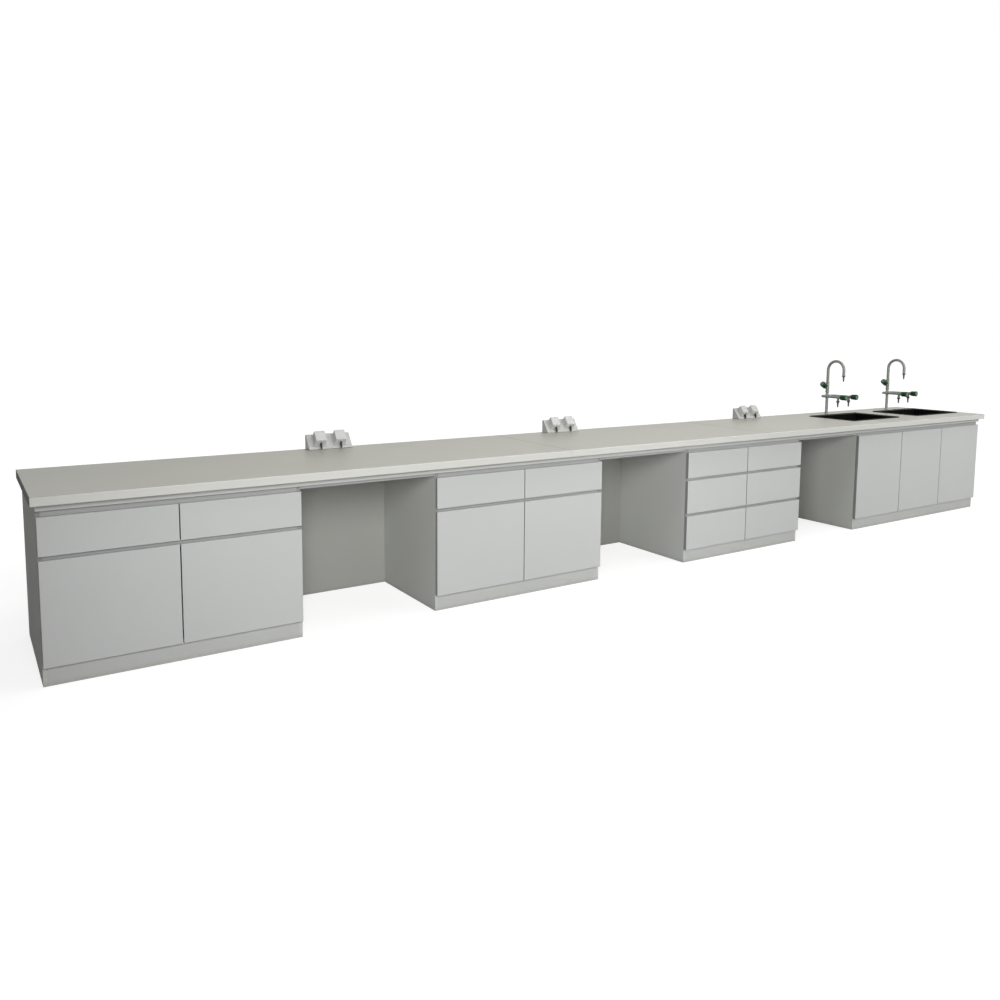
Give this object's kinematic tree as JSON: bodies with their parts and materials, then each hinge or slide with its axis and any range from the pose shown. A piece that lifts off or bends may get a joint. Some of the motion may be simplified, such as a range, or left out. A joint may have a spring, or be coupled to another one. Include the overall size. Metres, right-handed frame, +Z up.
{
  "type": "wall workbench with sink",
  "caption": "Long wall-side laboratory workbench: base cabinets with drawers and doors, open knee spaces, black drop-in sinks, gooseneck taps and socket pedestals on the worktop.",
  "frame": {"origin": "centre of the box around the bench, on the floor", "axes": "+Z up, +X along the bench to the sinks, +Y to the wall; the fronts face -Y"},
  "size_m": [7.065, 0.8, 1.2515],
  "materials": {
    "worktop_laminate": "pale grey laminate on board, fine sheen",
    "white_laminate": "white melamine-faced board",
    "zinc_steel": "zinc-plated steel",
    "black_polymer": "moulded black polymer",
    "grey_polymer": "pale waste fittings",
    "tap_coat": "pale grey coating on brass",
    "green_polymer": "moulded green knobs",
    "socket_polymer": "white moulded housings"
  },
  "bodies": {
    "bench": {"worktop_left": "worktop_laminate", "worktop_middle": "worktop_laminate", "worktop_right": "worktop_laminate", "fascia_strips": "white_laminate", "carcass_sides": "white_laminate", "carcass_floors": "white_laminate", "plinth_boards": "white_laminate", "carcass_backs": "white_laminate", "carcass_rails": "white_laminate", "carcass_partitions": "white_laminate", "knee_space_boards": "white_laminate", "runner_channels": "zinc_steel", "hinge_arms": "zinc_steel", "sinks": "black_polymer", "sink_wastes": "grey_polymer", "tap_columns": "tap_coat", "tap_valve_bodies": "tap_coat", "socket_pedestals": "socket_polymer", "socket_plates": "socket_polymer"},
    "left_cabinet_left_drawer": {"left_cabinet_left_drawer_front": "white_laminate", "left_cabinet_left_drawer_box": "white_laminate"},
    "left_cabinet_right_drawer": {"left_cabinet_right_drawer_front": "white_laminate", "left_cabinet_right_drawer_box": "white_laminate"},
    "middle_cabinet_left_drawer": {"middle_cabinet_left_drawer_front": "white_laminate", "middle_cabinet_left_drawer_box": "white_laminate"},
    "middle_cabinet_right_drawer": {"middle_cabinet_right_drawer_front": "white_laminate", "middle_cabinet_right_drawer_box": "white_laminate"},
    "drawer_cabinet_left_top_drawer": {"drawer_cabinet_left_top_drawer_front": "white_laminate", "drawer_cabinet_left_top_drawer_box": "white_laminate"},
    "drawer_cabinet_right_top_drawer": {"drawer_cabinet_right_top_drawer_front": "white_laminate", "drawer_cabinet_right_top_drawer_box": "white_laminate"},
    "drawer_cabinet_left_middle_drawer": {"drawer_cabinet_left_middle_drawer_front": "white_laminate", "drawer_cabinet_left_middle_drawer_box": "white_laminate"},
    "drawer_cabinet_right_middle_drawer": {"drawer_cabinet_right_middle_drawer_front": "white_laminate", "drawer_cabinet_right_middle_drawer_box": "white_laminate"},
    "drawer_cabinet_left_bottom_drawer": {"drawer_cabinet_left_bottom_drawer_front": "white_laminate", "drawer_cabinet_left_bottom_drawer_box": "white_laminate"},
    "drawer_cabinet_right_bottom_drawer": {"drawer_cabinet_right_bottom_drawer_front": "white_laminate", "drawer_cabinet_right_bottom_drawer_box": "white_laminate"},
    "left_cabinet_left_door": {"left_cabinet_left_door": "white_laminate"},
    "left_cabinet_right_door": {"left_cabinet_right_door": "white_laminate"},
    "middle_cabinet_left_door": {"middle_cabinet_left_door": "white_laminate"},
    "middle_cabinet_right_door": {"middle_cabinet_right_door": "white_laminate"},
    "sink_cabinet_left_door": {"sink_cabinet_left_door": "white_laminate"},
    "sink_cabinet_middle_door": {"sink_cabinet_middle_door": "white_laminate"},
    "sink_cabinet_right_door": {"sink_cabinet_right_door": "white_laminate"},
    "left_tap_spout": {"left_tap_spout": "tap_coat"},
    "left_tap_left_knob": {"left_tap_left_knob": "green_polymer"},
    "left_tap_right_knob": {"left_tap_right_knob": "green_polymer"},
    "left_tap_upper_knob": {"left_tap_upper_knob": "green_polymer"},
    "right_tap_spout": {"right_tap_spout": "tap_coat"},
    "right_tap_left_knob": {"right_tap_left_knob": "green_polymer"},
    "right_tap_right_knob": {"right_tap_right_knob": "green_polymer"},
    "right_tap_upper_knob": {"right_tap_upper_knob": "green_polymer"},
    "left_socket_left_cover": {"left_socket_left_cover": "socket_polymer"},
    "left_socket_right_cover": {"left_socket_right_cover": "socket_polymer"},
    "middle_socket_left_cover": {"middle_socket_left_cover": "socket_polymer"},
    "middle_socket_right_cover": {"middle_socket_right_cover": "socket_polymer"},
    "right_socket_left_cover": {"right_socket_left_cover": "socket_polymer"},
    "right_socket_right_cover": {"right_socket_right_cover": "socket_polymer"}
  },
  "joints": [
    {"name": "left_cabinet_left_drawer_slide", "type": "slide", "parent": "bench", "child": "left_cabinet_left_drawer", "axis": [0, -1, 0], "range_m": [0, 0.38]},
    {"name": "left_cabinet_right_drawer_slide", "type": "slide", "parent": "bench", "child": "left_cabinet_right_drawer", "axis": [0, -1, 0], "range_m": [0, 0.38]},
    {"name": "middle_cabinet_left_drawer_slide", "type": "slide", "parent": "bench", "child": "middle_cabinet_left_drawer", "axis": [0, -1, 0], "range_m": [0, 0.38]},
    {"name": "middle_cabinet_right_drawer_slide", "type": "slide", "parent": "bench", "child": "middle_cabinet_right_drawer", "axis": [0, -1, 0], "range_m": [0, 0.38]},
    {"name": "drawer_cabinet_left_top_drawer_slide", "type": "slide", "parent": "bench", "child": "drawer_cabinet_left_top_drawer", "axis": [0, -1, 0], "range_m": [0, 0.38]},
    {"name": "drawer_cabinet_right_top_drawer_slide", "type": "slide", "parent": "bench", "child": "drawer_cabinet_right_top_drawer", "axis": [0, -1, 0], "range_m": [0, 0.38]},
    {"name": "drawer_cabinet_left_middle_drawer_slide", "type": "slide", "parent": "bench", "child": "drawer_cabinet_left_middle_drawer", "axis": [0, -1, 0], "range_m": [0, 0.38]},
    {"name": "drawer_cabinet_right_middle_drawer_slide", "type": "slide", "parent": "bench", "child": "drawer_cabinet_right_middle_drawer", "axis": [0, -1, 0], "range_m": [0, 0.38]},
    {"name": "drawer_cabinet_left_bottom_drawer_slide", "type": "slide", "parent": "bench", "child": "drawer_cabinet_left_bottom_drawer", "axis": [0, -1, 0], "range_m": [0, 0.38]},
    {"name": "drawer_cabinet_right_bottom_drawer_slide", "type": "slide", "parent": "bench", "child": "drawer_cabinet_right_bottom_drawer", "axis": [0, -1, 0], "range_m": [0, 0.38]},
    {"name": "left_cabinet_left_door_hinge", "type": "hinge", "parent": "bench", "child": "left_cabinet_left_door", "pos_m": [-3.5035, -0.3565, 0.307], "axis": [0, 0, -1], "range_deg": [0, 95]},
    {"name": "left_cabinet_right_door_hinge", "type": "hinge", "parent": "bench", "child": "left_cabinet_right_door", "pos_m": [-2.4215, -0.3565, 0.307], "axis": [0, 0, 1], "range_deg": [0, 95]},
    {"name": "middle_cabinet_left_door_hinge", "type": "hinge", "parent": "bench", "child": "middle_cabinet_left_door", "pos_m": [-1.6835, -0.3565, 0.307], "axis": [0, 0, -1], "range_deg": [0, 95]},
    {"name": "middle_cabinet_right_door_hinge", "type": "hinge", "parent": "bench", "child": "middle_cabinet_right_door", "pos_m": [-0.6015, -0.3565, 0.307], "axis": [0, 0, 1], "range_deg": [0, 95]},
    {"name": "sink_cabinet_left_door_hinge", "type": "hinge", "parent": "bench", "child": "sink_cabinet_left_door", "pos_m": [1.8715, -0.3565, 0.397], "axis": [0, 0, -1], "range_deg": [0, 95]},
    {"name": "sink_cabinet_middle_door_hinge", "type": "hinge", "parent": "bench", "child": "sink_cabinet_middle_door", "pos_m": [2.9535, -0.3565, 0.397], "axis": [0, 0, 1], "range_deg": [0, 95]},
    {"name": "sink_cabinet_right_door_hinge", "type": "hinge", "parent": "bench", "child": "sink_cabinet_right_door", "pos_m": [3.5035, -0.3565, 0.397], "axis": [0, 0, 1], "range_deg": [0, 95]},
    {"name": "left_tap_spout_swivel", "type": "hinge", "parent": "bench", "child": "left_tap_spout", "pos_m": [2.3485, 0.279, 1.062], "axis": [0, 0, 1], "range_deg": [-90, 90]},
    {"name": "left_tap_left_knob_turn", "type": "hinge", "parent": "bench", "child": "left_tap_left_knob", "pos_m": [2.2785, 0.094, 0.951], "axis": [0, -1, 0], "range_deg": [0, 180]},
    {"name": "left_tap_right_knob_turn", "type": "hinge", "parent": "bench", "child": "left_tap_right_knob", "pos_m": [2.4185, 0.094, 0.951], "axis": [0, -1, 0], "range_deg": [0, 180]},
    {"name": "left_tap_upper_knob_turn", "type": "hinge", "parent": "bench", "child": "left_tap_upper_knob", "pos_m": [2.3485, 0.279, 1.011], "axis": [-0.848, 0, 0.5299], "range_deg": [0, 180]},
    {"name": "right_tap_spout_swivel", "type": "hinge", "parent": "bench", "child": "right_tap_spout", "pos_m": [3.1915, 0.279, 1.062], "axis": [0, 0, 1], "range_deg": [-90, 90]},
    {"name": "right_tap_left_knob_turn", "type": "hinge", "parent": "bench", "child": "right_tap_left_knob", "pos_m": [3.1215, 0.094, 0.951], "axis": [0, -1, 0], "range_deg": [0, 180]},
    {"name": "right_tap_right_knob_turn", "type": "hinge", "parent": "bench", "child": "right_tap_right_knob", "pos_m": [3.2615, 0.094, 0.951], "axis": [0, -1, 0], "range_deg": [0, 180]},
    {"name": "right_tap_upper_knob_turn", "type": "hinge", "parent": "bench", "child": "right_tap_upper_knob", "pos_m": [3.1915, 0.279, 1.011], "axis": [-0.848, 0, 0.5299], "range_deg": [0, 180]},
    {"name": "left_socket_left_cover_hinge", "type": "hinge", "parent": "bench", "child": "left_socket_left_cover", "pos_m": [-2.0475, 0.37997, 0.88157], "axis": [-1, 0, 0], "range_deg": [0, 82]},
    {"name": "left_socket_right_cover_hinge", "type": "hinge", "parent": "bench", "child": "left_socket_right_cover", "pos_m": [-1.9295, 0.37997, 0.88157], "axis": [-1, 0, 0], "range_deg": [0, 82]},
    {"name": "middle_socket_left_cover_hinge", "type": "hinge", "parent": "bench", "child": "middle_socket_left_cover", "pos_m": [-0.4115, 0.37997, 0.88157], "axis": [-1, 0, 0], "range_deg": [0, 82]},
    {"name": "middle_socket_right_cover_hinge", "type": "hinge", "parent": "bench", "child": "middle_socket_right_cover", "pos_m": [-0.2935, 0.37997, 0.88157], "axis": [-1, 0, 0], "range_deg": [0, 82]},
    {"name": "right_socket_left_cover_hinge", "type": "hinge", "parent": "bench", "child": "right_socket_left_cover", "pos_m": [1.4205, 0.37997, 0.88157], "axis": [-1, 0, 0], "range_deg": [0, 82]},
    {"name": "right_socket_right_cover_hinge", "type": "hinge", "parent": "bench", "child": "right_socket_right_cover", "pos_m": [1.5385, 0.37997, 0.88157], "axis": [-1, 0, 0], "range_deg": [0, 82]}
  ]
}
